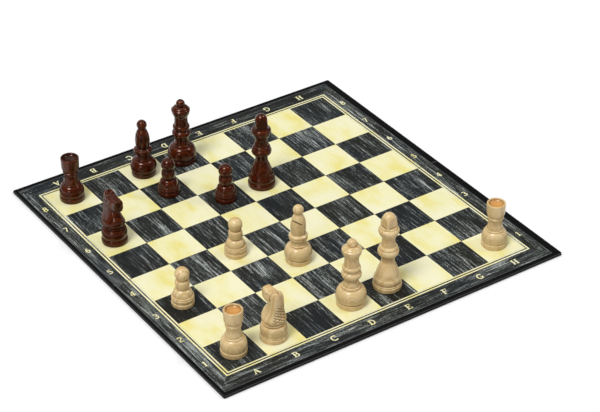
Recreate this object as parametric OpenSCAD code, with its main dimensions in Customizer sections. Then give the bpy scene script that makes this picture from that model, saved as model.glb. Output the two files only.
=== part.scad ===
// Folding chess board with its wooden men. The board lies open, playing side up, at z = 0.
// x runs along the ranks from file A to file H, y from rank 1 to rank 8, z up. Millimetres.
// The origin is under the middle of the fold. The rear leaf turns about the fold, over the front leaf.

/* [Board] */
// Side of one square
square_w = 40; // [36:1:50]
// Thickness of the greyboard in each leaf
board_t = 2; // [1.6:0.1:3]
// Thickness of the leatherette wrap
wrap_t = 0.3; // [0.2:0.05:0.4]
// Width of the wrap turned in over the upper face
turn_in = 15; // [12:1:18]
// Gap between the two leaves at the fold
fold_gap = 0.5; // [0.4:0.1:0.8]
// Radius of the crease of the wrap at the fold
crease_r = 0.18; // [0.12:0.02:0.2]

/* [Playing sheet] */
// Thickness of the printed paper
sheet_t = 0.15; // [0.1:0.05:0.2]
// Thickness of the cream ink
ink_t = 0.05; // [0.03:0.01:0.08]
// Paper beyond the squares along the side edges
sheet_side = 17; // [14:1:20]
// Paper beyond the squares along the end edges
sheet_end = 21; // [16:1:24]
// Wrap left bare beside the paper, side edges
rim_side = 6; // [4:1:8]
// Wrap left bare beside the paper, end edges
rim_end = 5; // [4:1:8]
// How far off centre the paper is glued
sheet_shift = -2; // [-3:1:3]

/* [Border lines] */
// Width of the line next to the squares
inner_line_w = 1.4; // [0.6:0.1:1.6]
// Width of the outer line
outer_line_w = 1.4; // [0.8:0.1:1.8]
// Distance from the squares to the inner line
inner_line_gap = 0.1; // [0.1:0.1:1]
// Distance between the two lines
line_gap = 1.5; // [1:0.1:2]

/* [Men] */
// Height of the king, which sets the size of every man
king_h = 78.6; // [72:0.2:84]
// Clearance under a man
man_gap = 0.02; // [0.01:0.01:0.05]

/* [Hidden] */

$fn = 64;
files = 8;
leaf_ranks = 4;
board_w = files * square_w + 2 * (sheet_side + rim_side);
leaf_d = leaf_ranks * square_w + sheet_end + rim_end;
half_gap = fold_gap / 2;
wrap_top = wrap_t + board_t;
sheet_top = wrap_top + sheet_t;
play_top = sheet_top + ink_t;
// The fold turns about the crease, a little above the ink, so that the two printed faces just clear
fold_z = play_top + 0.06;
grid_x = sheet_shift - files * square_w / 2;
grid_y = -leaf_ranks * square_w;
men_scale = king_h / 78.6;
// Radii of the wrapped edges: underneath, on top, and at the spine
under_r = 0.7;
top_r = 0.5;
spine_r = 1.4;
plan_r = 2;
// Ink stops this short of its neighbour, and paper this short of the fold
print_gap = 0.05;

leatherette = "#232325";
greyboard = "#8c8578";
dark_print = "#2e3336";
cream_ink = "#f0ebab";
crease_tone = "#6e6a60";
light_wood = "#dcbc8c";
dark_wood = "#4b1d12";

// Quarter turn of a rounded corner: its centre, radius and first angle
function corner(c, r, a) = r > 0
    ? [for (i = [0:4]) c + r * [cos(a + 22.5 * i), sin(a + 22.5 * i)]]
    : [c];

// Leaf seen from its side, y along and z up, drawn in by the thickness of what lies over it
function leaf_side(in) =
    let (
        outer = -leaf_d + in,
        fold = -half_gap - in,
        u = max(under_r - in, 0),
        t = max(top_r - in, 0),
        s = max(spine_r - in, 0)
    )
    concat(
        corner([outer + u, in + u], u, 180),
        corner([fold - s, in + s], s, 270),
        [[fold, wrap_top]],
        corner([outer + t, wrap_top - t], t, 90)
    );

// Leaf seen from its end, x along and z up
function leaf_end(in) =
    let (side = board_w / 2 - in, u = max(under_r - in, 0), t = max(top_r - in, 0))
    concat(
        corner([u - side, in + u], u, 180),
        corner([side - u, in + u], u, 270),
        corner([side - t, wrap_top - t], t, 0),
        corner([t - side, wrap_top - t], t, 90)
    );

// Leaf seen from above, rounded at its two outer corners
function leaf_plan(in) =
    let (side = board_w / 2 - in, outer = -leaf_d + in, r = plan_r - in)
    concat(
        corner([r - side, outer + r], r, 180),
        corner([side - r, outer + r], r, 270),
        [[side, -half_gap - in], [-side, -half_gap - in]]
    );

// Block of a leaf, rounded along its edges: where three outlines meet
module leaf_block(in) {
    intersection() {
        rotate([90, 0, 90]) linear_extrude(board_w, center = true) polygon(leaf_side(in));
        rotate([90, 0, 0]) linear_extrude(leaf_d) polygon(leaf_end(in));
        linear_extrude(wrap_top) polygon(leaf_plan(in));
    }
}

// Greyboard of a leaf, let down along three edges for the wrap that is turned in
module leaf_core() {
    inner_w = board_w - 2 * turn_in;
    difference() {
        leaf_block(wrap_t);
        translate([0, 0, wrap_top - wrap_t]) linear_extrude(board_t) difference() {
            square([2 * board_w, 2 * leaf_d], center = true);
            translate([-inner_w / 2, turn_in - leaf_d]) square([inner_w, leaf_d]);
        }
    }
}

// Wrap of a leaf: under it, round its edges and turned in on top, mitred at the corners
module leaf_cover() {
    seam_w = 0.25;
    seam_h = 0.15;
    difference() {
        leaf_block(0);
        leaf_core();
        for (side = [-1, 1])
            translate([side * board_w / 2, -leaf_d, wrap_top - seam_h])
                rotate([0, 0, side * 45])
                    translate([-seam_w / 2, 0, 0]) cube([seam_w, turn_in, board_t]);
    }
}

// Part of the upper face that belongs to one leaf; near is 1 for the front leaf, -1 for the rear one
module on_leaf(near, z, thick) {
    far = board_w;
    translate([0, 0, z]) linear_extrude(thick) intersection() {
        children();
        translate([-far, near > 0 ? -2 * far - half_gap - print_gap : half_gap + print_gap])
            square([2 * far, 2 * far]);
    }
}

// Rectangle round the squares, wider by x at the sides and by y at the ends
module round_grid(x, y) {
    translate([grid_x - x, grid_y - y])
        square([files * square_w + 2 * x, 2 * leaf_ranks * square_w + 2 * y]);
}

// Line round the squares, starting at a distance from them
module border_line(start, w) {
    difference() {
        round_grid(start + w, start + w);
        round_grid(start, start);
    }
}

module sheet(near) {
    on_leaf(near, wrap_top, sheet_t) round_grid(sheet_side, sheet_end);
}

// Cream ink of one leaf: every other square, with A1 left dark, and the double line
module print(near) {
    light_w = square_w - 2 * print_gap;
    on_leaf(near, sheet_top, ink_t) {
        for (file = [0:files - 1], rank = [0:2 * leaf_ranks - 1])
            if ((file + rank) % 2 == 1)
                translate([grid_x + file * square_w + print_gap, grid_y + rank * square_w + print_gap])
                    square(light_w);
        border_line(inner_line_gap, inner_line_w);
        border_line(inner_line_gap + inner_line_w + line_gap, outer_line_w);
    }
}

// Crease of the wrap between the leaves: a bead on the turning line, held by a lip of the front leaf
module crease() {
    length = board_w - 2 * plan_r;
    lip = 0.06;
    translate([0, 0, fold_z]) rotate([0, 90, 0]) cylinder(h = length, r = crease_r, center = true);
    translate([-length / 2, -half_gap, wrap_top - lip]) cube([length, half_gap, lip]);
    translate([-length / 2, -lip, wrap_top - lip]) cube([length, 2 * lip, fold_z - wrap_top + lip]);
}

// Points along an elliptical arc about c
function arc(c, size, from, to, n = 6) =
    [for (i = [0:n]) let (a = from + (to - from) * i / n) c + [size[0] * cos(a), size[1] * sin(a)]];

// Points up a bell from p to q, upright at its foot; k sets how full it is
function bell(p, q, k = 1.7, n = 8) =
    [for (i = [0:n]) let (t = i / n) [q[0] + (p[0] - q[0]) * (1 - pow(t, k)), p[1] + (q[1] - p[1]) * t]];

// Points up an S curve from p to q, upright at both ends
function ogee(p, q, n = 6) =
    [for (i = [0:n]) let (t = i / n) [p[0] + (q[0] - p[0]) * (1 - cos(180 * t)) / 2, p[1] + (q[1] - p[1]) * t]];

// Points along a curve from a to b, drawn towards the handle h
function bow(a, h, b, n = 5) =
    [for (i = [0:n]) let (t = i / n) (1 - t) * (1 - t) * a + 2 * t * (1 - t) * h + t * t * b];

// Foot ring of a man, with its bead and the groove above it
function foot(r, h) =
    [[0, 0], [r - 0.5, 0], [r, 0.5], [r, h - 0.6], [r - 0.5, h], [r - 0.8, h + 0.3], [r - 0.3, h + 0.9]];

function pawn_outline() = concat(
    foot(10.4, 4.2),
    arc([8.2, 7.2], [2.1, 2.5], -40, 50),
    [[9.9, 9.5], [9.9, 10.1], [9.3, 10.4]],
    arc([4.5, 10.4], [4.3, 6.8], 0, 84),
    arc([5.5, 21.8], [1.05, 4.2], -80, 80),
    [[4.6, 26.2]],
    arc([0, 32], [6.6, 6.6], -46, 90, 12)
);

function rook_outline() = concat(
    foot(11.9, 5),
    arc([6.9, 8.4], [4.9, 8.6], -16, 80, 10),
    [[8.6, 17.1], [8.4, 17.9], [7.5, 18.3]],
    ogee([7.4, 18.5], [6.4, 25]),
    ogee([6.4, 27], [6.7, 28.6]),
    [[7.3, 29], [7.4, 29.9], [7.3, 30.8], [6.8, 31.2]],
    ogee([6.9, 31.6], [8, 34.2]),
    [[8.4, 34.8], [8.5, 38], [8.7, 45], [8.4, 45.5], [7.4, 45.5]],
    arc([0, 45.2], [7, 3.2], 0, -90, 8)
);

function knight_base_outline() = concat(
    foot(12.2, 4.4),
    arc([9.7, 10], [2.2, 5.6], -45, 75),
    [[9, 15.7], [9, 16.2], [9.8, 16.6], [9.9, 17.4], [9.4, 18], [9.2, 18.4], [0, 18.4]]
);

function bishop_outline() = concat(
    foot(11.9, 4.6),
    arc([7, 8.8], [5.7, 8.6], -18, 82, 10),
    [[8.2, 17.7], [8, 18.5], [7, 18.9]],
    ogee([6.9, 19.1], [6.3, 22.4]),
    [[7.6, 23.2], [8.5, 24.4], [8.6, 25.6], [8.3, 26.2], [8.7, 26.9], [8.6, 28.2], [7.3, 29]],
    arc([0, 37], [7.05, 15.5], -28, 51, 10),
    [[3.9, 50.2]],
    arc([0, 54.6], [4.9, 4.9], -43, 90, 10)
);

function queen_outline() = concat(
    foot(13.2, 4.8),
    arc([7.7, 9.2], [6.2, 9.4], -18, 82, 10),
    [[8.9, 19.3], [8.6, 20], [7.7, 20.4]],
    ogee([7.5, 20.7], [6.5, 25.6]),
    [[6.5, 28.4]],
    arc([6.9, 32], [2.2, 3], -75, 75),
    [[7, 35.4]],
    arc([6.5, 38.9], [1.7, 2.2], -75, 75),
    ogee([6.7, 41.6], [6.4, 47]),
    ogee([6.4, 48.6], [8.7, 56.4]),
    [[9, 57], [9, 58.4], [8.4, 59]],
    arc([0, 58], [8.3, 4.6], 16, 60),
    [[3.4, 61.9]],
    arc([0, 64.1], [4.4, 4.4], -40, 90, 8)
);

function king_outline() = concat(
    foot(13.2, 4.6),
    arc([9.6, 9], [3, 4.6], -35, 52),
    [[11.2, 13.1], [11, 13.8], [10.8, 14.2]],
    bell([10.8, 14.2], [6.1, 27.4], 1.2),
    [[5.9, 29], [5.9, 33.6]],
    arc([7, 38.6], [2.6, 3.6], -70, 60),
    [[8.5, 42.2], [8.5, 43], [7.6, 44.2], [6.7, 44.7]],
    ogee([6.5, 45], [5.9, 50]),
    ogee([6, 52], [8.9, 59.4]),
    [[9.3, 60.8], [9.4, 63]],
    arc([8.8, 63.2], [0.6, 0.8], 0, 90, 3),
    [[7.8, 63.4], [7.4, 62.4]],
    arc([0, 67], [7.4, 11.6], 0, 90, 10)
);

module turned(outline) {
    rotate_extrude() polygon(outline);
}

// Four flats down the sides of the king's finial, leaning in to the top
module king() {
    flat_out = 5;
    flat_lean = 6;
    difference() {
        turned(king_outline());
        for (turn = [0:90:270])
            rotate([0, 0, turn]) translate([flat_out, 0, 64]) rotate([0, -flat_lean, 0])
                translate([0, -10, 0]) cube([10, 20, 20]);
    }
}

// Saw cut in the bishop's mitre: it enters high at the front and stops short of the axis
module bishop() {
    kerf = 0.9;
    kerf_tilt = 42;
    difference() {
        turned(bishop_outline());
        translate([2.9, 0, 42.3]) rotate([0, -kerf_tilt, 0]) translate([0, -10, -kerf / 2]) cube([12, 20, kerf]);
    }
}

// Horse's head from the side, looking along +x
function head_side() = concat(
    bow([8.8, 18.4], [12.6, 21.5], [10.9, 26.5]),
    bow([10.9, 26.5], [9.2, 31.5], [5.6, 34.6]),
    bow([5.6, 34.6], [5, 36.2], [7, 36.6], 3),
    bow([7, 36.6], [10, 36.4], [10.4, 38.8], 3),
    bow([10.4, 38.8], [11.7, 42.5], [11.2, 45.5], 4),
    bow([11.2, 45.5], [10.8, 48.6], [8.2, 49.4], 4),
    bow([8.2, 49.4], [4.6, 48.8], [1, 49.2], 4),
    bow([1, 49.2], [-3, 49.8], [-5.4, 51.6], 3),
    bow([-5.4, 51.6], [-7.4, 52], [-8, 50.2], 3),
    bow([-8, 50.2], [-10, 48], [-10.1, 43], 4),
    bow([-10.1, 43], [-9.6, 35], [-9.4, 29]),
    bow([-9.4, 29], [-10.6, 22.5], [-8.8, 18.4])
);

// One half of the head from the front: half width and height
function head_front() = concat(
    bow([8.9, 18.4], [9.8, 22.5], [8.4, 27]),
    bow([8.4, 27], [6, 31.5], [5.1, 36]),
    bow([5.1, 36], [5.3, 41], [4.8, 45]),
    bow([4.8, 45], [4.2, 48.6], [2.6, 52.8], 4)
);

// Round blank that the head is carved from
function blank_outline() = concat(
    [[0, 18.4]],
    bow([9.1, 18.4], [12.4, 20.4], [12.3, 26], 4),
    [[12.2, 42]],
    bow([12.2, 42], [11.6, 50.6], [6.4, 53.4], 4),
    [[0, 53.4]]
);

module knight_head() {
    notches = 6;
    notch_r = 0.8;
    difference() {
        intersection() {
            rotate([90, 0, 0]) linear_extrude(40, center = true) polygon(head_side());
            for (side = [0, 1])
                mirror([0, side, 0]) rotate([90, 0, 90]) linear_extrude(40, center = true)
                    polygon(concat([[0, 52.8], [0, 18.4]], head_front()));
            turned(blank_outline());
        }
        // locks of the mane, cut across the back of the neck
        for (i = [0:notches - 1], side = [-1, 1])
            translate([-10.4, 0, 22.4 + 3 * i]) rotate([side * 62, 0, 0]) cylinder(h = 12, r = notch_r);
        // parting between the ears
        translate([-6, 0, 49.8]) rotate([90, 0, 90]) linear_extrude(9, center = true)
            polygon([[0, 0], [1.2, 3], [-1.2, 3]]);
        // mouth
        translate([7.4, 0, 39]) rotate([0, 6, 0]) translate([0, -8, 0]) cube([6, 16, 0.7]);
        // hollow under each cheek, the eyes and the nostrils
        for (side = [-1, 1]) {
            translate([4.4, side * 10.2, 32.4]) rotate([0, -38, 0]) cylinder(h = 14, r = 5.6, center = true);
            translate([3.4, side * 4.9, 45.4]) sphere(0.9);
            translate([9.6, side * 4.8, 43.2]) sphere(0.7);
        }
    }
}

// Stand a man near the middle of a square, nudged by hand, and turn it
module on_square(file, rank, nudge, turn = 0) {
    translate([
        grid_x + (file + 0.5) * square_w + nudge[0],
        grid_y + (rank + 0.5) * square_w + nudge[1],
        play_top + man_gap
    ])
        rotate([0, 0, turn]) scale(men_scale) children();
}

module front_core() { color(greyboard) leaf_core(); }
module rear_core() { color(greyboard) mirror([0, 1, 0]) leaf_core(); }
module front_cover() { color(leatherette) leaf_cover(); }
module rear_cover() { color(leatherette) mirror([0, 1, 0]) leaf_cover(); }
module front_sheet() { color(dark_print) sheet(1); }
module rear_sheet() { color(dark_print) sheet(-1); }
module front_print() { color(cream_ink) print(1); }
module rear_print() { color(cream_ink) print(-1); }
module fold_crease() { color(crease_tone) crease(); }

module light_rook_a1() { color(light_wood) on_square(0, 0, [-1.5, 0]) turned(rook_outline()); }
module light_knight_base() { color(light_wood) on_square(1, 0, [-2, -2]) turned(knight_base_outline()); }
module light_knight_head() { color(light_wood) on_square(1, 0, [-2, -2], 90) knight_head(); }
module light_queen() { color(light_wood) on_square(3, 0, [1.5, 0.5]) turned(queen_outline()); }
module light_king() { color(light_wood) on_square(4, 0, [3, 3]) king(); }
module light_rook_h1() { color(light_wood) on_square(7, 0, [2, 0]) turned(rook_outline()); }
module light_bishop() { color(light_wood) on_square(3, 2, [0, 0.5], 195) bishop(); }
module light_pawn_a3() { color(light_wood) on_square(0, 2, [-1, 3]) turned(pawn_outline()); }
module light_pawn_c4() { color(light_wood) on_square(2, 3, [-1.5, 0.5]) turned(pawn_outline()); }
module dark_rook() { color(dark_wood) on_square(0, 7, [0, 3]) turned(rook_outline()); }
module dark_bishop() { color(dark_wood) on_square(2, 7, [-2, 2], 150) bishop(); }
module dark_queen() { color(dark_wood) on_square(3, 7, [0.5, 0.5]) turned(queen_outline()); }
module dark_king() { color(dark_wood) on_square(4, 5, [1, 2], -24) king(); }
module dark_pawn_c7() { color(dark_wood) on_square(2, 6, [0, -1]) turned(pawn_outline()); }
module dark_pawn_d6() { color(dark_wood) on_square(3, 5, [-1, 0]) turned(pawn_outline()); }
module dark_knight_base() { color(dark_wood) on_square(0, 5, [-2, 0]) turned(knight_base_outline()); }
module dark_knight_head() { color(dark_wood) on_square(0, 5, [-2, 0], -90) knight_head(); }

front_core();
rear_core();
front_cover();
rear_cover();
front_sheet();
rear_sheet();
front_print();
rear_print();
fold_crease();
light_rook_a1();
light_knight_base();
light_knight_head();
light_queen();
light_king();
light_rook_h1();
light_bishop();
light_pawn_a3();
light_pawn_c4();
dark_rook();
dark_bishop();
dark_queen();
dark_king();
dark_pawn_c7();
dark_pawn_d6();
dark_knight_base();
dark_knight_head();
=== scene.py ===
import math

import bmesh
import bpy
import numpy as np
from mathutils import Matrix


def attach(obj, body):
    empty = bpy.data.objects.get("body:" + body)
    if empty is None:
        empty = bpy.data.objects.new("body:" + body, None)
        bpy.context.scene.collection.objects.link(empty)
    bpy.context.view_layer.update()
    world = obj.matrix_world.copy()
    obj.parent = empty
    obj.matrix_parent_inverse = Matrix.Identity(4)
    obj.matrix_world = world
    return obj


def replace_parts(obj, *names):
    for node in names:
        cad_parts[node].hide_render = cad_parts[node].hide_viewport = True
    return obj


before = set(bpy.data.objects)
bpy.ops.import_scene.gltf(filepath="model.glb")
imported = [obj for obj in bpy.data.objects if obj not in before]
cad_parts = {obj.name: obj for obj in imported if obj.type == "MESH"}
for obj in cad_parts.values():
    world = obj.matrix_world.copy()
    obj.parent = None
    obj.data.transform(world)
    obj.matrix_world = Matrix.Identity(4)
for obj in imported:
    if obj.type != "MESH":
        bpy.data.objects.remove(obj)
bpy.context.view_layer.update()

MM = 0.001
# The board in millimetres: a square, half the field of squares, the field's middle across the files and its
# corner at A1; half the paper about the field's middle; half the wrapped board; and the heights of the
# paper's face and of the men's feet
SQUARE = 40.0
FIELD = 4.0 * SQUARE
FIELD_X = -2.0
GRID_X = FIELD_X - FIELD
GRID_Y = -FIELD
PAPER_X = 177.0
PAPER_Y = 181.0
BOARD_X = 183.0
BOARD_Y = 186.0
SHEET_TOP = 2.45
MAN_FOOT = 2.52


def add_camera():
    """Camera of the photograph: its place, its own axes as columns, and its lens."""
    camera = bpy.data.objects.new("camera", bpy.data.cameras.new("camera"))
    camera.data.sensor_width = 36.0
    camera.data.lens = 125.78
    camera.data.clip_start = 0.05
    camera.data.clip_end = 40.0
    right = (0.82508, -0.56501, 0.00209)
    up = (0.31617, 0.46476, 0.82707)
    back = (-0.46827, -0.68174, 0.56210)
    place = (-0.89455, -1.33253, 1.10998)
    turn = Matrix((right, up, back)).transposed()
    camera.matrix_world = Matrix.Translation(place) @ turn.to_4x4()
    bpy.context.collection.objects.link(camera)
    bpy.context.scene.camera = camera


def linear(code):
    """Linear colour of a screen colour code such as #dcbc8c."""
    parts = [int(code[i:i + 2], 16) / 255 for i in (1, 3, 5)]
    return [c / 12.92 if c <= 0.04045 else ((c + 0.055) / 1.055) ** 2.4 for c in parts] + [1.0]


class Tone:
    """A number or a vector inside a finish. The operators add Math nodes."""

    def __init__(self, finish, socket):
        self.finish = finish
        self.socket = socket

    def math(self, operation, first, second=0.0):
        return self.finish.node("ShaderNodeMath", {"operation": operation}, {0: first, 1: second})

    def __add__(self, other):
        return self.math("ADD", self, other)

    def __radd__(self, other):
        return self.math("ADD", other, self)

    def __sub__(self, other):
        return self.math("SUBTRACT", self, other)

    def __rsub__(self, other):
        return self.math("SUBTRACT", other, self)

    def __mul__(self, other):
        return self.math("MULTIPLY", self, other)

    def __rmul__(self, other):
        return self.math("MULTIPLY", other, self)

    def __truediv__(self, other):
        return self.math("DIVIDE", self, other)

    def __pow__(self, other):
        return self.math("POWER", self, other)

    def __gt__(self, other):
        return self.math("GREATER_THAN", self, other)

    def __abs__(self):
        return self.math("ABSOLUTE", self)

    def floor(self):
        return self.math("FLOOR", self)

    def larger(self, other):
        return self.math("MAXIMUM", self, other)

    def smaller(self, other):
        return self.math("MINIMUM", self, other)

    def step(self, low, high):
        """0 below low, 1 above high, smooth between."""
        settings = {"interpolation_type": "SMOOTHSTEP"}
        inputs = {"Value": self, "From Min": low, "From Max": high}
        return self.finish.node("ShaderNodeMapRange", settings, inputs)

    def ease(self, other, share):
        """This number, going over to another one by share."""
        return self + (other - self) * share


class Finish:
    """One finish: a material and short ways to add its nodes."""

    def __init__(self, name, sockets):
        self.material = bpy.data.materials.new(name)
        self.material.use_nodes = True
        self.tree = self.material.node_tree
        self.shader = self.tree.nodes["Principled BSDF"]
        for socket, value in sockets.items():
            self.shader.inputs[socket].default_value = value

    def node(self, kind, settings=None, inputs=None, out=0):
        """Any node: its type, its settings, the values or links of its inputs, and which output."""
        node = self.tree.nodes.new(kind)
        for key, value in (settings or {}).items():
            if key == "stops":
                ramp = node.color_ramp
                for place, _ in value[2:]:
                    ramp.elements.new(place)
                for element, (place, colour) in zip(ramp.elements, value):
                    element.position = place
                    element.color = colour
            else:
                setattr(node, key, value)
        for key, value in (inputs or {}).items():
            if isinstance(value, Tone):
                self.tree.links.new(value.socket, node.inputs[key])
            else:
                node.inputs[key].default_value = value
        return Tone(self, node.outputs[out])

    def place(self):
        """Object coordinates in millimetres, as three numbers."""
        spot = self.node("ShaderNodeTexCoord", out="Object")
        spot = self.node("ShaderNodeVectorMath", {"operation": "SCALE"}, {0: spot, "Scale": 1000.0})
        return [self.node("ShaderNodeSeparateXYZ", None, {0: spot}, out=i) for i in range(3)]

    def upward(self):
        """How far the surface faces up: 1 on a flat top, 0 on an upright side, -1 underneath."""
        normal = self.node("ShaderNodeTexCoord", out="Normal")
        return self.node("ShaderNodeSeparateXYZ", None, {0: normal}, out="Z")

    def vector(self, x, y, z):
        return self.node("ShaderNodeCombineXYZ", None, {0: x, 1: y, 2: z})

    def noise(self, x, y, z, detail=3.0, roughness=0.5):
        inputs = {"Vector": self.vector(x, y, z), "Scale": 1.0, "Detail": detail, "Roughness": roughness}
        return self.node("ShaderNodeTexNoise", None, inputs)

    def ramp(self, value, *stops):
        """Colours along a value: pairs of place and colour code."""
        return self.node("ShaderNodeValToRGB", {"stops": [(p, linear(c)) for p, c in stops]}, {0: value})

    def blend(self, first, second, share):
        """Colour going from first to second by share."""
        first = linear(first) if isinstance(first, str) else first
        second = linear(second) if isinstance(second, str) else second
        return self.node("ShaderNodeMix", {"data_type": "RGBA"}, {0: share, 6: first, 7: second}, 2)

    def use(self, socket, tone):
        self.tree.links.new(tone.socket, self.shader.inputs[socket])

    def bump(self, height, depth):
        """Relief of a height between 0 and 1, depth in millimetres."""
        inputs = {"Strength": 1.0, "Distance": depth * MM, "Height": height}
        self.use("Normal", self.node("ShaderNodeBump", None, inputs))


def dark_print_finish():
    """Printed dark wood: fine pale fibres along the files and along each border, mitred at the corners, and
    a little painted sheen on the side borders.
    """
    f = Finish("dark_print", {"Specular IOR Level": 0.3})
    x, y, z = f.place()
    out_x = abs(x - FIELD_X) - FIELD
    out_y = abs(y) - FIELD
    end = out_y > out_x.larger(0.0)
    border = out_x.larger(out_y) > 0.0
    square = ((x - GRID_X) / SQUARE).floor() * 7.3 + ((y - GRID_Y) / SQUARE).floor() * 3.7
    frame_part = 100.0 + (x > 0.0) * 31.0 * (1.0 - end) + end * (57.0 + (y > 0.0) * 13.0)
    seed = square.ease(frame_part, border)
    across = x.ease(y, end)
    along = y.ease(x, end)
    wander = f.noise(across * 0.02, along * 0.02, seed, 2.0)
    across = across + wander * 2.5
    fibre = f.noise(across * 0.85, along * 0.03, seed, 5.0, 0.8)
    speck = f.noise(across * 1.3, along * 0.45, seed + 2.0, 3.0, 0.7)
    band = f.noise(across * 0.17, along * 0.012, seed + 5.0, 3.0)
    lift = f.noise(seed * 1.7, 0.3, 0.8, 1.0)
    streak = f.noise(across * 0.7, along * 0.014, seed + 9.0, 3.0).step(0.66, 0.72)
    weight = fibre + (speck - 0.5) * 0.4 + (band - 0.5) * 0.35 + (lift - 0.5) * 0.2
    # Painted sheen: the borders along the sides are made a little lighter.
    weight = weight + border * (1.0 - end) * 0.025
    shade = f.ramp(weight, (0.42, "#030403"), (0.505, "#0f1110"), (0.56, "#363a37"), (0.62, "#888e8a"),
                   (0.72, "#dce1dd"))
    tint = f.noise(x * 0.013, y * 0.013, seed * 0.05, 2.0)
    shade = f.blend(shade, f.ramp(tint, (0.36, "#2d3a4a"), (0.5, "#343835"), (0.64, "#34331f")), 0.14)
    shade = f.blend(shade, "#a9b2b8", streak * 0.5)
    edge = (PAPER_X - abs(x - FIELD_X)).smaller(PAPER_Y - abs(y))
    shade = f.blend("#717477", shade, edge.step(0.1, 0.45))
    f.use("Base Color", shade)
    f.use("Roughness", 0.46 + fibre * 0.2)
    f.bump(f.noise(x * 6.0, y * 6.0, z, 3.0) * 0.4 + fibre * 0.6, 0.015)
    return f.material


def cream_ink_finish():
    """Cream print with a faint pale wood figure, a little uneven from square to square."""
    f = Finish("cream_ink", {"Specular IOR Level": 0.4})
    x, y, z = f.place()
    square = ((x - GRID_X) / SQUARE).floor() * 5.1 + ((y - GRID_Y) / SQUARE).floor() * 2.3
    cloud = f.noise(x * 0.05, y * 0.03, square, 3.0)
    figure = f.noise(x * 0.8, y * 0.07, square + 4.0, 4.0, 0.6)
    shade = f.ramp(cloud, (0.36, "#f4f0cb"), (0.52, "#f2edb9"), (0.68, "#eee38e"))
    shade = f.blend(shade, "#e2d480", figure.step(0.5, 0.8) * 0.35)
    f.use("Base Color", shade)
    f.use("Roughness", 0.34 + figure * 0.2)
    f.bump(f.noise(x * 6.0, y * 6.0, z, 3.0), 0.015)
    return f.material


def leatherette_finish():
    """Embossed wrap: grey underneath, partly as painted sheen of its pebbled face, nearly black up its
    edges and on the rim, with a painted highlight along its top outer edge.
    """
    f = Finish("leatherette", {"Specular IOR Level": 0.1})
    x, y, z = f.place()
    crumple = f.noise(x * 0.5, y * 0.9, z * 0.5, 4.0, 0.6)
    warped = f.vector(x * 1.1 + crumple * 2.2, y * 1.8 + crumple * 2.2, z * 1.5)
    settings = {"feature": "DISTANCE_TO_EDGE"}
    pebble = f.node("ShaderNodeTexVoronoi", settings, {"Vector": warped, "Scale": 1.0})
    grain = pebble.step(0.0, 0.25)
    rim = z.step(0.1, 0.7)
    # Grey underneath, nearly black above: the underside's lighter grey is partly painted sheen of the
    # pebbled face.
    under = f.ramp(crumple, (0.3, "#3b3b3c"), (0.7, "#5c5c5b"))
    top = f.ramp(crumple, (0.3, "#030304"), (0.7, "#0b0b0c"))
    inward = (BOARD_X - abs(x)).smaller(BOARD_Y - abs(y))
    # Painted highlight: a pale line along the top outer edge of the rim, where its rounded brink catches
    # light.
    brink_highlight = (1.0 - inward.step(0.3, 0.9)) * z.step(1.6, 2.1)
    shade = f.blend(under, top, rim)
    shade = f.blend(shade, "#5a5a5c", brink_highlight * 0.6)
    shade = f.blend("#0b0b0c", shade, 0.55 + grain * 0.45)
    f.use("Base Color", shade)
    f.use("Roughness", 0.62 - grain * 0.12)
    f.bump(grain * 0.6 + crumple * 0.4, 0.09)
    return f.material


def greyboard_finish():
    """Pressed grey board: flecks and short fibres in layers."""
    f = Finish("greyboard", {"Roughness": 0.9})
    x, y, z = f.place()
    fleck = f.noise(x * 1.3, y * 1.3, z * 6.0, 5.0, 0.7)
    f.use("Base Color", f.ramp(fleck, (0.3, "#6f685c"), (0.5, "#8c8578"), (0.7, "#a59e90")))
    f.bump(fleck, 0.05)
    return f.material


def crease_finish():
    """The wrap's crease, painted pale along the fold as the highlight on its ridge."""
    f = Finish("crease", {"Roughness": 0.55})
    x, y, z = f.place()
    highlight_and_relief = f.noise(x * 0.35, y * 3.0, z * 3.0, 4.0)
    # Painted highlight: the pale tones of the crease.
    f.use("Base Color", f.ramp(highlight_and_relief, (0.35, "#2b2a28"), (0.55, "#6e6a60"), (0.7, "#8b877b")))
    f.bump(highlight_and_relief, 0.03)
    return f.material


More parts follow.
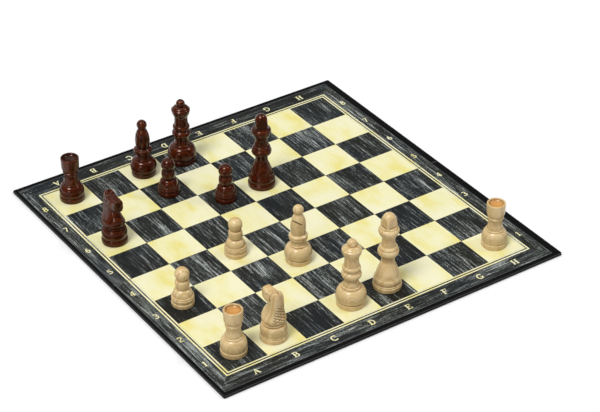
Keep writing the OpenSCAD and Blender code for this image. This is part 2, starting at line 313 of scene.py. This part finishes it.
def wood_finish(name, tones, ends, pore_and_shade, groove_shade, roughness, relief, sockets):
    """Turned hardwood: upright grain round a tree's heart far to one side, pores, end grain on flat tops
    and in the bowls of the rooks on the outer files, painted shade in the grooves, and painted shade on
    the faces that do not look up."""
    f = Finish(name, sockets)
    x, y, z = f.place()
    up = f.upward()
    heart_x, heart_y = 400.0, 900.0
    wander = f.noise(x * 0.03, y * 0.03, z * 0.012, 2.0) * 5.0
    heart = ((x + heart_x + wander) ** 2.0 + (y + heart_y + wander) ** 2.0) ** 0.5
    ring = f.noise(heart * 0.55, z * 0.006, 0.0, 4.0, 0.6)
    fleck = f.noise(x * 2.2, y * 2.2, z * 0.12, 4.0, 0.6)
    shade = f.ramp(ring * 0.6 + fleck * 0.4, *tones)
    end_grain = up.step(0.86, 0.97)
    bowl_floor, bowl_rim, outer_files = (43.8, 44.4), (47.6, 47.9), 100.0
    bowl = z.step(*bowl_floor) * (1.0 - z.step(*bowl_rim)) * up.step(0.4, 0.75)
    bowl = bowl * (abs(x - FIELD_X) > outer_files)
    shade = f.blend(shade, f.ramp(fleck, *ends), (end_grain * 0.25).larger(bowl * 0.85))
    # Painted shade: faces that do not look up are darkened towards the pore colour, so tops and shoulders
    # stay lighter.
    shade = f.blend(pore_and_shade, shade, 0.72 + up.step(0.05, 0.6) * 0.28)
    vein = f.noise(x * 3.0, y * 3.0, z * 0.15, 2.0).step(0.62, 0.72)
    shade = f.blend(shade, pore_and_shade, vein * 0.3)
    # Painted shade: the colour darkens in the grooves, where the surface turns inward.
    groove = 1.0 - f.node("ShaderNodeNewGeometry", out="Pointiness").step(0.478, 0.4985)
    shade = f.blend(shade, groove_shade, groove * 0.9)
    f.use("Base Color", shade)
    f.use("Roughness", roughness + fleck * 0.12 + end_grain * 0.1)
    chatter = f.noise(x * 0.2, y * 0.2, z * 4.5, 2.0)
    f.bump(chatter * 0.5 + fleck * 0.3 - vein * 0.4, relief)
    return f.material


def light_wood_finish():
    """Pale wood under a clear, slightly dull varnish."""
    tones = [(0.34, "#f2dcab"), (0.47, "#e2c893"), (0.58, "#cfae76"), (0.7, "#ad8a53")]
    ends = [(0.35, "#c8802a"), (0.6, "#dc9a42")]
    sockets = {"Specular IOR Level": 0.1, "Coat Weight": 1.0, "Coat Roughness": 0.24}
    return wood_finish("light_wood", tones, ends, "#946d3b", "#7d5a2c", 0.5, 0.02, sockets)


def dark_wood_finish():
    """Dark red-brown stain under a gloss lacquer."""
    tones = [(0.34, "#7a3608"), (0.46, "#4a1701"), (0.58, "#2d0c00"), (0.72, "#1a0600")]
    ends = [(0.35, "#180500"), (0.6, "#300f02")]
    sockets = {"Specular IOR Level": 0.2, "Specular Tint": linear("#ffb48c"), "Coat Weight": 0.45,
               "Coat Roughness": 0.16}
    return wood_finish("dark_wood", tones, ends, "#160500", "#0a0200", 0.14, 0.012, sockets)


def arc(centre, size, start, stop, count=24):
    """Part of an ellipse: centre + (a cos t, b sin t), t in degrees."""
    t = np.radians(np.linspace(start, stop, count + 1))
    return np.stack([centre[0] + size[0] * np.cos(t), centre[1] + size[1] * np.sin(t)], axis=1)


def bell(low, high, fullness, count=24):
    """Bell side: r = r1 + (r0 - r1)(1 - t^k), z runs evenly from z0 to z1."""
    t = np.linspace(0.0, 1.0, count + 1)
    r = high[0] + (low[0] - high[0]) * (1.0 - t ** fullness)
    return np.stack([r, low[1] + (high[1] - low[1]) * t], axis=1)


def ogee(low, high, count=20):
    """S curve, upright at both ends: r eases by (1 - cos pi t) / 2 as z runs evenly."""
    t = np.linspace(0.0, 1.0, count + 1)
    r = low[0] + (high[0] - low[0]) * (1.0 - np.cos(math.pi * t)) / 2.0
    return np.stack([r, low[1] + (high[1] - low[1]) * t], axis=1)


def foot(radius, height):
    """Foot ring of a man with its bead and the groove above it."""
    r, h = radius, height
    ring = [[0, 0], [r - 0.5, 0], [r, 0.5], [r, h - 0.6], [r - 0.5, h]]
    return ring + [[r - 0.8, h + 0.3], [r - 0.3, h + 0.9]]


def eased(parts, reach=0.22):
    """Outline with its corners worn round: near each corner the line follows a short parabola,
    (1-t)^2 a + 2 t (1-t) corner + t^2 b, between points a and b on its two sides. A bend too slight to
    be a corner stays as it is."""
    slight = math.radians(14)
    points = np.concatenate([np.asarray(part, float) for part in parts])
    keep = np.concatenate([[True], np.hypot(*np.diff(points, axis=0).T) > 1e-4])
    points = points[keep]
    line = [points[:1]]
    t = np.linspace(0.0, 1.0, 5)[:, None]
    for before, corner, after in zip(points[:-2], points[1:-1], points[2:]):
        back = before - corner
        ahead = after - corner
        back_len, ahead_len = np.hypot(*back), np.hypot(*ahead)
        bend = math.acos(np.clip(-(back @ ahead) / (back_len * ahead_len), -1.0, 1.0))
        if bend < slight:
            line.append(corner[None])
            continue
        a = corner + back * min(reach / back_len, 0.45)
        b = corner + ahead * min(reach / ahead_len, 0.45)
        line.append((1 - t) ** 2 * a + 2 * t * (1 - t) * corner + t ** 2 * b)
    line.append(points[-1:])
    return np.concatenate(line)


# Outlines of the men: radius and height in millimetres, from the middle of the foot round to the axis again
def pawn_outline():
    return eased([
        foot(10.4, 4.2),
        arc([8.2, 7.2], [2.1, 2.5], -40, 50, 14),
        [[9.9, 9.5], [9.9, 10.1], [9.3, 10.4]],
        arc([4.5, 10.4], [4.3, 6.8], 0, 84),
        arc([5.5, 21.8], [1.05, 4.2], -80, 80),
        [[4.6, 26.2]],
        arc([0, 32], [6.6, 6.6], -46, 90, 40),
    ])


def rook_outline():
    return eased([
        foot(11.9, 5),
        arc([6.9, 8.4], [4.9, 8.6], -16, 80),
        [[8.6, 17.1], [8.4, 17.9], [7.5, 18.3]],
        ogee([7.4, 18.5], [6.4, 25]),
        ogee([6.4, 27], [6.7, 28.6]),
        [[7.3, 29], [7.4, 29.9], [7.3, 30.8], [6.8, 31.2]],
        ogee([6.9, 31.6], [8, 34.2]),
        [[8.4, 34.8], [8.5, 38], [8.7, 45], [8.4, 45.5], [7.4, 45.5]],
        arc([0, 45.2], [7, 3.2], 0, -90),
    ])


def knight_base_outline():
    return eased([
        foot(12.2, 4.4),
        arc([9.7, 10], [2.2, 5.6], -45, 75),
        [[9, 15.7], [9, 16.2], [9.8, 16.6], [9.9, 17.4], [9.4, 18], [9.2, 18.4], [0, 18.4]],
    ])


def bishop_outline():
    return eased([
        foot(11.9, 4.6),
        arc([7, 8.8], [5.7, 8.6], -18, 82),
        [[8.2, 17.7], [8, 18.5], [7, 18.9]],
        ogee([6.9, 19.1], [6.3, 22.4]),
        [[7.6, 23.2], [8.5, 24.4], [8.6, 25.6], [8.3, 26.2], [8.7, 26.9], [8.6, 28.2], [7.3, 29]],
        arc([0, 37], [7.05, 15.5], -28, 51, 40),
        [[3.9, 50.2]],
        arc([0, 54.6], [4.9, 4.9], -43, 90, 32),
    ])


def queen_outline():
    return eased([
        foot(13.2, 4.8),
        arc([7.7, 9.2], [6.2, 9.4], -18, 82),
        [[8.9, 19.3], [8.6, 20], [7.7, 20.4]],
        ogee([7.5, 20.7], [6.5, 25.6]),
        [[6.5, 28.4]],
        arc([6.9, 32], [2.2, 3], -75, 75),
        [[7, 35.4]],
        arc([6.5, 38.9], [1.7, 2.2], -75, 75),
        ogee([6.7, 41.6], [6.4, 47]),
        ogee([6.4, 48.6], [8.7, 56.4]),
        [[9, 57], [9, 58.4], [8.4, 59]],
        arc([0, 58], [8.3, 4.6], 16, 60),
        [[3.4, 61.9]],
        arc([0, 64.1], [4.4, 4.4], -40, 90, 32),
    ])


def king_outline():
    return eased([
        foot(13.2, 4.6),
        arc([9.6, 9], [3, 4.6], -35, 52),
        [[11.2, 13.1], [11, 13.8], [10.8, 14.2]],
        bell([10.8, 14.2], [6.1, 27.4], 1.2),
        [[5.9, 29], [5.9, 33.6]],
        arc([7, 38.6], [2.6, 3.6], -70, 60),
        [[8.5, 42.2], [8.5, 43], [7.6, 44.2], [6.7, 44.7]],
        ogee([6.5, 45], [5.9, 50]),
        ogee([6, 52], [8.8, 58.8]),
        arc([7.4, 60.4], [2.0, 3.0], -20, 84, 16),
        [[7.4, z] for z in np.linspace(63.2, 66.8, 12)],
        arc([0, 67], [7.4, 11.6], 0, 90, 60),
    ])


def turned(outline, segments=96):
    """Turned wood: every outline point (r, z) goes once round the axis, x = r cos a, y = r sin a."""
    a = np.linspace(0.0, 2.0 * math.pi, segments + 1)
    r, z = outline[:, :1], outline[:, 1:]
    return np.stack([r * np.cos(a), r * np.sin(a), z + 0.0 * a], axis=-1)


def king_turned():
    """Turned king whose finial is pared to four upright flats: with b the angle from the nearest flat, the
    radius is the lesser, rounded off, of the turned one and (flat + ledge) / cos b, where the ledge is
    steepness (ledge top - z) close to the collar and 0 above it."""
    flat, steepness, ledge_top, softness = 5.4, 1.1, 65.4, 0.04
    collar_top, finial_radius, axis_radius = 63.19, 7.45, 0.01
    grid = turned(king_outline(), 240)
    a = np.linspace(0.0, 2.0 * math.pi, grid.shape[1])
    b = (a + math.pi / 4.0) % (math.pi / 2.0) - math.pi / 4.0
    z = grid[..., 2]
    radius = np.hypot(grid[..., 0], grid[..., 1])
    pared = (flat + np.clip(ledge_top - z, 0.0, None) * steepness) / np.cos(b)
    pared = (radius + pared - np.hypot(radius - pared, softness)) / 2.0
    finial = (z > collar_top) & (radius < finial_radius) & (radius > axis_radius)
    share = np.where(finial, np.minimum(pared, radius) / np.maximum(radius, axis_radius), 1.0)
    return grid * np.stack([share, share, np.ones_like(share)], axis=-1)


def make_mesh(name, grids):
    """Mesh of one or more grids of points in millimetres; doubled points at seams and poles are merged."""
    points, faces, start = [], [], 0
    for grid in grids:
        rows, columns = grid.shape[:2]
        index = start + np.arange(rows * columns).reshape(rows, columns)
        cells = [index[:-1, :-1], index[:-1, 1:], index[1:, 1:], index[1:, :-1]]
        points.append(grid.reshape(-1, 3))
        faces.append(np.stack(cells, axis=-1).reshape(-1, 4))
        start += rows * columns
    mesh = bpy.data.meshes.new(name)
    mesh.from_pydata((np.concatenate(points) * MM).tolist(), [], np.concatenate(faces).tolist())
    tidy = bmesh.new()
    tidy.from_mesh(mesh)
    bmesh.ops.remove_doubles(tidy, verts=tidy.verts, dist=1e-7)
    bmesh.ops.dissolve_degenerate(tidy, edges=tidy.edges, dist=1e-8)
    bmesh.ops.recalc_face_normals(tidy, faces=tidy.faces)
    tidy.to_mesh(mesh)
    tidy.free()
    return mesh


def add_piece(name, grids, material, body, cutter=None):
    """Finished piece of a man or of the board; a cutter's grid is taken away from it first."""
    piece = bpy.data.objects.new(name, make_mesh(name, grids))
    bpy.context.collection.objects.link(piece)
    if cutter is not None:
        tool = bpy.data.objects.new("cutter", make_mesh("cutter", [cutter]))
        bpy.context.collection.objects.link(tool)
        cut = piece.modifiers.new("cut", "BOOLEAN")
        cut.operation = "DIFFERENCE"
        cut.solver = "EXACT"
        cut.object = tool
        whole = piece.data
        cut_piece = piece.evaluated_get(bpy.context.evaluated_depsgraph_get())
        piece.data = bpy.data.meshes.new_from_object(cut_piece)
        piece.modifiers.clear()
        bpy.data.objects.remove(tool)
        bpy.data.meshes.remove(whole)
        piece.data.name = name
    piece.data.materials.clear()
    piece.data.materials.append(material)
    piece.data.shade_smooth()
    piece.data.set_sharp_from_angle(angle=math.radians(40))
    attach(piece, body)
    return piece


def slab(loop_low, loop_high):
    """Closed block between two loops of points: both ends close on the loop's middle."""
    rows = [np.broadcast_to(loop_low[:-1].mean(axis=0), loop_low.shape), loop_low,
            loop_high, np.broadcast_to(loop_high[:-1].mean(axis=0), loop_high.shape)]
    return np.stack(rows)


def kerf_block():
    """Block that a saw blade takes out of a bishop: it starts just in front of the axis and runs out and up
    by its tilt, so a point lies at start + out (cos, sin) + up (-sin, cos)."""
    reach, half_width, half_cut = 13.0, 10.0, 0.55
    start_x, start_z, tilt = 1.2, 40.8, math.radians(42.0)
    c, s = math.cos(tilt), math.sin(tilt)
    y = half_width * np.array([-1.0, 1.0, 1.0, -1.0, -1.0])
    up = half_cut * np.array([-1.0, -1.0, 1.0, 1.0, -1.0])
    ends = [np.stack([start_x + out * c - up * s, y, start_z + out * s + up * c], axis=-1)
            for out in (0.0, reach)]
    return slab(*ends)


# Sections of a knight's head in millimetres: share along it; throat side, middle and crest side, each as
# forward and up; half width; boxiness of the throat side and of the crest side
HEAD = np.array([
    [0.00, 8.8, 18.4, 0.0, 18.4, -8.8, 18.4, 8.9, 2.0, 2.0],
    [0.05, 10.6, 20.6, 0.0, 20.4, -10.2, 20.6, 10.3, 2.0, 2.5],
    [0.11, 11.3, 23.4, 0.0, 23.0, -10.3, 23.4, 9.9, 2.1, 3.2],
    [0.18, 10.9, 26.6, -0.1, 26.2, -9.6, 27.0, 8.3, 2.1, 4.2],
    [0.26, 9.2, 30.2, -0.5, 30.0, -9.5, 31.2, 6.8, 2.0, 5.0],
    [0.35, 6.6, 33.4, -1.2, 34.0, -9.7, 36.4, 5.9, 2.0, 5.6],
    [0.43, 5.2, 35.3, -1.6, 38.0, -10.0, 41.4, 5.5, 2.1, 5.6],
    [0.50, 5.1, 36.2, -1.2, 40.8, -10.1, 45.6, 5.3, 2.4, 5.0],
    [0.56, 5.6, 36.4, -0.2, 42.3, -9.9, 49.0, 5.3, 2.8, 4.0],
    [0.61, 6.2, 36.3, 1.0, 43.0, -9.1, 51.2, 5.3, 3.2, 3.2],
    [0.65, 6.8, 36.2, 2.1, 43.2, -7.4, 51.9, 5.2, 3.4, 3.2],
    [0.69, 7.4, 36.2, 3.2, 43.3, -4.4, 50.7, 5.1, 3.6, 3.2],
    [0.74, 8.0, 36.3, 4.5, 43.3, -0.8, 49.5, 5.0, 3.8, 3.4],
    [0.80, 8.8, 36.5, 6.0, 43.2, 3.0, 48.7, 4.8, 4.0, 3.8],
    [0.86, 9.6, 36.7, 7.4, 43.0, 6.2, 48.9, 4.6, 4.0, 4.0],
    [0.91, 10.5, 37.0, 9.0, 42.8, 8.8, 49.1, 4.5, 4.0, 4.0],
    [0.95, 11.1, 37.5, 10.4, 42.7, 10.7, 48.9, 4.4, 4.0, 4.0],
    [0.98, 11.4, 38.9, 11.0, 42.7, 11.3, 47.4, 4.1, 4.0, 4.0],
    [1.00, 11.5, 42.7, 11.3, 42.7, 11.5, 42.9, 2.2, 3.0, 3.0],
])


def curve_through(keys, values, at):
    """Smooth line through the values: cubic pieces whose slopes are the mean slope across each key."""
    slope = np.gradient(values, keys)
    i = np.clip(np.searchsorted(keys, at, side="right") - 1, 0, len(keys) - 2)
    h = keys[i + 1] - keys[i]
    t = (at - keys[i]) / h
    return ((2 * t ** 3 - 3 * t ** 2 + 1) * values[i] + (t ** 3 - 2 * t ** 2 + t) * h * slope[i]
            + (3 * t ** 2 - 2 * t ** 3) * values[i + 1] + (t ** 3 - t ** 2) * h * slope[i + 1])


def swell(distance, reach):
    """Smooth hump: 1 at distance 0, and 0 from reach on."""
    return np.clip(1.0 - (distance / reach) ** 2, 0.0, None) ** 2


def head_cuts(x, y, z, crest):
    """Depth of the carving at each point of a head, less than 0 where it is proud. Each cut is a depth
    times a smooth hump; crest is 0 on the throat side and 1 along the back of the neck."""
    side = np.abs(y)
    flank = side > 1.0
    # cheek, brow and eye
    cut = -0.55 * swell(np.hypot(x - 2.2, z - 41.2), 4.6) * flank
    cut = cut - 0.5 * swell(np.hypot(x - 4.6, (z - 46.6) * 1.6), 2.4) * flank
    eye = np.hypot(x - 4.4, z - 45.2)
    cut = cut + (0.6 * swell(eye, 1.5) - 0.75 * swell(eye, 0.8)) * flank
    # nostril and mouth
    cut = cut + 0.8 * swell(np.hypot(x - 9.7, (z - 43.6) * 0.8), 0.95) * (side > 1.2)
    lip = np.abs(z - 38.9 - 0.12 * (x - 9.0))
    cut = cut + 1.0 * swell(lip, 0.55) * np.clip((x - 6.2) / 1.2, 0.0, 1.0)
    # crease between cheek and crest, and the hollow in front of the ear
    crease = np.abs((x + 2.6) - 0.28 * (z - 42.0))
    cut = cut + 0.8 * swell(crease, 0.9) * swell(z - 42.6, 6.4) * flank
    cut = cut + 0.7 * swell(np.hypot(x + 2.8, (z - 49.8) * 0.9), 1.9) * np.clip(side / 2.4, 0.0, 1.0)
    # parting between the ears
    cut = cut + 2.0 * swell(side, 1.1) * swell(np.hypot(x + 6.6, z - 51.6), 3.2) * crest
    # locks of the mane: notches that cross on the back of the neck, which stands a little proud
    lock, notch = 2.9, 0.24
    low_neck = np.clip((z - 20.8) / 0.8, 0.0, 1.0) * np.clip((38.0 - z) / 0.5, 0.0, 1.0)
    behind = np.clip((crest - 0.87) / 0.05, 0.0, 1.0)
    for slant in (-0.55, 0.55):
        phase = ((z + slant * y) / lock) % 1.0
        cut = cut + 0.75 * swell(np.abs(phase - 0.5), notch) * low_neck * behind
    return cut - 0.35 * low_neck * behind


def outward(grid, middle):
    """Unit vectors square to a closed round grid: the cross product of its two slopes, turned away from
    the middle line."""
    along = np.gradient(grid, axis=0)
    around = np.gradient(grid, axis=1)
    around[:, 0] = around[:, -1] = (grid[:, 1] - grid[:, -2]) / 2.0
    out = np.cross(around, along)
    size = np.linalg.norm(out, axis=-1, keepdims=True)
    out = out / np.maximum(size, 1e-9)
    return out * np.sign(np.sum(out * (grid - middle), axis=-1, keepdims=True) + 1e-12)


def carved_head():
    """Horse's head carved from the round: superellipses carried along the bent middle line of the neck and
    muzzle. At each share s, with c = cos t, the point lies at middle + |c|^(2/n) (side - middle), on the
    throat side for c > 0 and on the crest side for c < 0, and at half width * |sin t|^(2/n) to the side.
    The cuts are then taken along the surface's own direction, and fade out at the seat and at the nose."""
    s = np.linspace(0.0, 1.0, 300)
    keys = HEAD[:, 0]
    fx, fz, mx, mz, bx, bz, w, nf, nb = [curve_through(keys, HEAD[:, i], s)[:, None] for i in range(1, 10)]
    t = np.linspace(0.0, 2.0 * math.pi, 241)[None, :]
    c, v = np.cos(t), np.sin(t)
    c = np.where(np.abs(c) < 1e-9, 0.0, c)
    v = np.where(np.abs(v) < 1e-9, 0.0, v)
    front = c > 0.0
    n = np.where(front, nf, nb)
    reach = np.abs(c) ** (2.0 / n)
    x = mx + reach * np.where(front, fx - mx, bx - mx)
    z = mz + reach * np.where(front, fz - mz, bz - mz)
    y = w * np.sign(v) * np.abs(v) ** (2.0 / n)
    cut = head_cuts(x, y, z, np.clip(-c, 0.0, 1.0))
    grid = np.stack([x, y, z], axis=-1)
    middle = np.stack([mx + 0.0 * x, 0.0 * x, mz + 0.0 * x], axis=-1)
    seat_height, fade_start, seat_fade, nose_fade = 18.4, 18.6, 0.8, 0.02
    fade = np.minimum((z - fade_start) / seat_fade, (1.0 - s[:, None]) / nose_fade)
    fade = np.clip(fade, 0.0, 1.0)
    grid = grid - outward(grid, middle) * (cut * fade)[..., None]
    seat = np.broadcast_to([0.0, 0.0, seat_height], grid[:1].shape)
    return np.concatenate([seat, grid])


def on_square(grid, file, rank, nudge, turn=0.0):
    """Grid turned about its axis by degrees and stood on a square, nudged off the square's middle."""
    c, s = math.cos(math.radians(turn)), math.sin(math.radians(turn))
    spin = np.array([[c, s, 0.0], [-s, c, 0.0], [0.0, 0.0, 1.0]])
    x = GRID_X + (file + 0.5) * SQUARE + nudge[0]
    y = GRID_Y + (rank + 0.5) * SQUARE + nudge[1]
    return grid @ spin + [x, y, MAN_FOOT]


# Where the men stand: name, outline, file and rank counted from 0, nudge in millimetres, turn in degrees.
# The kings have no outline here, because king_turned makes them.
MEN = [
    ("light_rook_a1", rook_outline, 0, 0, (-1.5, 0), 0),
    ("light_queen", queen_outline, 3, 0, (1.5, 0.5), 0),
    ("light_king", None, 4, 0, (3, 3), 0),
    ("light_rook_h1", rook_outline, 7, 0, (2, 0), 0),
    ("light_bishop", bishop_outline, 3, 2, (0, 0.5), 195),
    ("light_pawn_a3", pawn_outline, 0, 2, (-1, 3), 0),
    ("light_pawn_c4", pawn_outline, 2, 3, (-1.5, 0.5), 0),
    ("dark_rook", rook_outline, 0, 7, (0, 3), 0),
    ("dark_bishop", bishop_outline, 2, 7, (-2, 2), 150),
    ("dark_queen", queen_outline, 3, 7, (0.5, 0.5), 0),
    ("dark_king", None, 4, 5, (1, 2), -24),
    ("dark_pawn_c7", pawn_outline, 2, 6, (0, -1), 0),
    ("dark_pawn_d6", pawn_outline, 3, 5, (-1, 0), 0),
]
KNIGHTS = [("light_knight", 1, 0, (-2, -2), 90), ("dark_knight", 0, 5, (-2, 0), -90)]


def add_men(finishes):
    """All men, each riding on its own body and standing for its own node or nodes."""
    for name, outline, file, rank, nudge, turn in MEN:
        slot = name.split("_")[0] + "_wood"
        grid = turned(outline()) if outline else king_turned()
        cutter = on_square(kerf_block(), file, rank, nudge, turn) if "bishop" in name else None
        grid = on_square(grid, file, rank, nudge, turn)
        piece = add_piece(name + "_turning", [grid], finishes[slot], name, cutter)
        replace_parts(piece, name)
    for name, file, rank, nudge, turn in KNIGHTS:
        slot = name.split("_")[0] + "_wood"
        base = on_square(turned(knight_base_outline()), file, rank, nudge)
        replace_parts(add_piece(name + "_base_turning", [base], finishes[slot], name), name + "_base")
        head = on_square(carved_head(), file, rank, nudge, turn)
        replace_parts(add_piece(name + "_head_carving", [head], finishes[slot], name), name + "_head")


# The board's coordinates: letter height and how far the letters and numbers stand outside the squares, in
# millimetres; widths of strokes and heights of the serifs, in letter heights
LETTER = 6.8
LETTERS_OUT = 12.65
NUMBERS_OUT = 10.65
STEM = 0.2
HAIR = 0.095
LOW = 0.037
HIGH = 0.963


def stem(x):
    """Upright thick stroke of full height."""
    return STEM, [[x, 0], [x, 1]]


def bar(left, right, y):
    """Level hairline."""
    return HAIR, [[left, y], [right, y]]


def tick(x, low, high):
    """Upright hairline."""
    return HAIR, [[x, low], [x, high]]


def bend(width, centre, size, start, stop):
    """Stroke along part of an ellipse."""
    return width, arc(centre, size, start, stop, 14)


# Strokes of each sign: each is a width and its points, in letter heights
GLYPHS = {
    "A": [(HAIR, [[0.08, 0.02], [0.42, 0.98]]), (STEM, [[0.38, 0.98], [0.76, 0.02]]),
          bar(0.2, 0.64, 0.32), bar(-0.06, 0.24, LOW), bar(0.56, 0.92, LOW)],
    "B": [stem(0.2), bar(0, 0.44, LOW), bar(0, 0.42, HIGH), bar(0.2, 0.44, 0.53),
          bend(0.15, [0.42, 0.745], [0.24, 0.218], 90, -90),
          bend(0.17, [0.44, 0.285], [0.3, 0.248], 90, -90)],
    "C": [bend(0.17, [0.48, 0.5], [0.4, 0.46], 48, 312), tick(0.78, 0.66, 1), tick(0.78, 0, 0.2)],
    "D": [stem(0.2), bar(0, 0.4, LOW), bar(0, 0.4, HIGH), bend(0.17, [0.38, 0.5], [0.42, 0.463], 90, -90)],
    "E": [stem(0.2), bar(0, 0.76, LOW), bar(0, 0.72, HIGH), bar(0.2, 0.52, 0.52), tick(0.53, 0.38, 0.66),
          tick(0.735, 0, 0.28), tick(0.7, 0.74, 1)],
    "F": [stem(0.2), bar(0, 0.42, LOW), bar(0, 0.72, HIGH), bar(0.2, 0.52, 0.5), tick(0.53, 0.36, 0.64),
          tick(0.7, 0.72, 1)],
    "G": [bend(0.17, [0.48, 0.5], [0.4, 0.46], 48, 316), (STEM, [[0.76, 0.02], [0.76, 0.42]]),
          bar(0.52, 0.92, 0.42), tick(0.76, 0.68, 1)],
    "H": [stem(0.2), stem(0.76), bar(0.2, 0.76, 0.5), bar(0, 0.4, LOW), bar(0, 0.4, HIGH),
          bar(0.56, 0.96, LOW), bar(0.56, 0.96, HIGH)],
    "1": [stem(0.3), bar(0.04, 0.56, LOW), (0.1, [[0.06, 0.78], [0.3, 0.94]])],
    "2": [bend(0.17, [0.32, 0.72], [0.25, 0.23], 165, -35), (0.13, [[0.51, 0.62], [0.08, 0.1]]),
          (0.14, [[0.02, 0.07], [0.62, 0.07]])],
    "3": [bend(0.16, [0.28, 0.745], [0.24, 0.2], 150, -80),
          bend(0.17, [0.28, 0.29], [0.29, 0.235], 80, -150)],
    "4": [(0.09, [[0.44, 0.97], [0.02, 0.3]]), (0.1, [[0.0, 0.27], [0.68, 0.27]]), stem(0.46)],
    "5": [(0.13, [[0.14, 0.935], [0.56, 0.935]]), (0.1, [[0.13, 0.95], [0.1, 0.5]]),
          bend(0.17, [0.28, 0.32], [0.29, 0.26], 128, -145)],
    "6": [bend(0.17, [0.33, 0.3], [0.26, 0.24], 0, 360), bend(0.16, [0.52, 0.36], [0.46, 0.58], 100, 178)],
    "7": [(0.14, [[0.03, 0.93], [0.6, 0.93]]), (0.15, [[0.54, 0.9], [0.22, 0]])],
    "8": [bend(0.16, [0.32, 0.74], [0.22, 0.2], 0, 360), bend(0.17, [0.32, 0.285], [0.27, 0.235], 0, 360)],
}


def pen_line(points, width, low, high):
    """Ribbon of ink: edges at point +- half width along the line's normal, closed between two heights."""
    points = np.asarray(points, float)
    along = np.gradient(points, axis=0)
    along /= np.linalg.norm(along, axis=1, keepdims=True)
    off = np.stack([-along[:, 1], along[:, 0]], axis=1) * width / 2.0
    left, right = points + off, points - off
    corners = [(left, low), (left, high), (right, high), (right, low), (left, low)]
    rows = np.stack([np.column_stack([flat, np.full(len(flat), z)]) for flat, z in corners], axis=1)
    ends = [np.broadcast_to(rows[i, :-1].mean(axis=0), rows[:1].shape) for i in (0, -1)]
    return np.concatenate([ends[0], rows, ends[1]])


def written(sign, x, y, turned_round=False):
    """Ribbons of one sign, its middle at (x, y), upright from the front edge or from the back one. Each
    stroke stands a little higher than the one before, so that no two tops lie in one plane."""
    gap, thick, rise = 0.002, 0.03, 0.003
    outline = np.concatenate([np.asarray(points, float) for _, points in GLYPHS[sign]])
    middle = [(outline[:, 0].min() + outline[:, 0].max()) / 2.0, 0.5]
    way = -1.0 if turned_round else 1.0
    ribbons = []
    for i, (width, points) in enumerate(GLYPHS[sign]):
        points = (np.asarray(points, float) - middle) * LETTER * way + [x, y]
        ribbons.append(pen_line(points, width * LETTER, SHEET_TOP + gap, SHEET_TOP + thick + rise * i))
    return ribbons


def add_coordinates(ink):
    """Letters A to H along the front and back edges, numbers 1 to 8 along both sides."""
    front, rear = [], []
    for i in range(8):
        across = GRID_X + (i + 0.5) * SQUARE
        up = GRID_Y + (i + 0.5) * SQUARE
        front += written("ABCDEFGH"[i], across, GRID_Y - LETTERS_OUT)
        rear += written("ABCDEFGH"[i], across, -GRID_Y + LETTERS_OUT, True)
        leaf = front if i < 4 else rear
        for x in (GRID_X - NUMBERS_OUT, GRID_X + 8.0 * SQUARE + NUMBERS_OUT):
            leaf += written(str(i + 1), x, up)
    add_piece("front_coordinates", front, ink, "front_leaf")
    add_piece("rear_coordinates", rear, ink, "rear_leaf")


# Lamps: name, direction towards it, strength, and width in degrees
LAMPS = [
    ("front_left", (-0.48, -0.17, 0.86), 2.0, 21.0),
    ("low_left", (-0.8, -0.52, 0.3), 0.25, 8.0),
    ("above", (0.1, 0.2, 1.0), 0.55, 70.0),
    ("right", (0.6, -0.28, 0.75), 0.45, 9.0),
    ("back_left", (-0.21, 0.8, 0.56), 0.3, 60.0),
]
ROOM_LIGHT = 0.17


def add_lights():
    """Soft studio light: the lamps, each turned to shine from its direction, in a white room."""
    for name, back, strength, width in LAMPS:
        lamp = bpy.data.lights.new(name, "SUN")
        lamp.energy = strength
        lamp.angle = math.radians(width)
        holder = bpy.data.objects.new(name, lamp)
        back = np.array(back) / np.linalg.norm(back)
        side = np.cross([0.0, 0.0, 1.0], back)
        side /= np.linalg.norm(side)
        up = np.cross(back, side)
        holder.matrix_world = Matrix([list(side), list(up), list(back)]).transposed().to_4x4()
        bpy.context.collection.objects.link(holder)
    world = bpy.data.worlds.new("room")
    world.use_nodes = True
    background = world.node_tree.nodes["Background"]
    background.inputs["Color"].default_value = (1.0, 1.0, 1.0, 1.0)
    background.inputs["Strength"].default_value = ROOM_LIGHT
    bpy.context.scene.world = world
    bpy.context.scene.view_settings.view_transform = "Standard"


def add_floor():
    """Plain pale floor just below the board."""
    f = Finish("floor_white", {"Roughness": 0.9, "Specular IOR Level": 0.1})
    x, y, _ = f.place()
    f.use("Base Color", f.ramp(f.noise(x * 0.01, y * 0.01, 0.0), (0.3, "#fafafa"), (0.7, "#fcfcfc")))
    mesh = bpy.data.meshes.new("floor")
    far, low = 6.0, -0.0005
    corners = [(-far, -far, low), (far, -far, low), (far, far, low), (-far, far, low)]
    mesh.from_pydata(corners, [], [(0, 1, 2, 3)])
    mesh.materials.append(f.material)
    floor = bpy.data.objects.new("floor", mesh)
    bpy.context.collection.objects.link(floor)


add_camera()
add_lights()
add_floor()
finishes = {
    "leatherette": leatherette_finish(),
    "greyboard": greyboard_finish(),
    "dark_print": dark_print_finish(),
    "cream_ink": cream_ink_finish(),
    "crease": crease_finish(),
    "light_wood": light_wood_finish(),
    "dark_wood": dark_wood_finish(),
}
node_finish = {
    "front_core": "greyboard", "rear_core": "greyboard",
    "front_cover": "leatherette", "rear_cover": "leatherette",
    "front_sheet": "dark_print", "rear_sheet": "dark_print",
    "front_print": "cream_ink", "rear_print": "cream_ink",
    "fold_crease": "crease",
}
for node, finish in node_finish.items():
    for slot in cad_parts[node].material_slots:
        slot.material = finishes[finish]
add_men(finishes)
add_coordinates(finishes["cream_ink"])
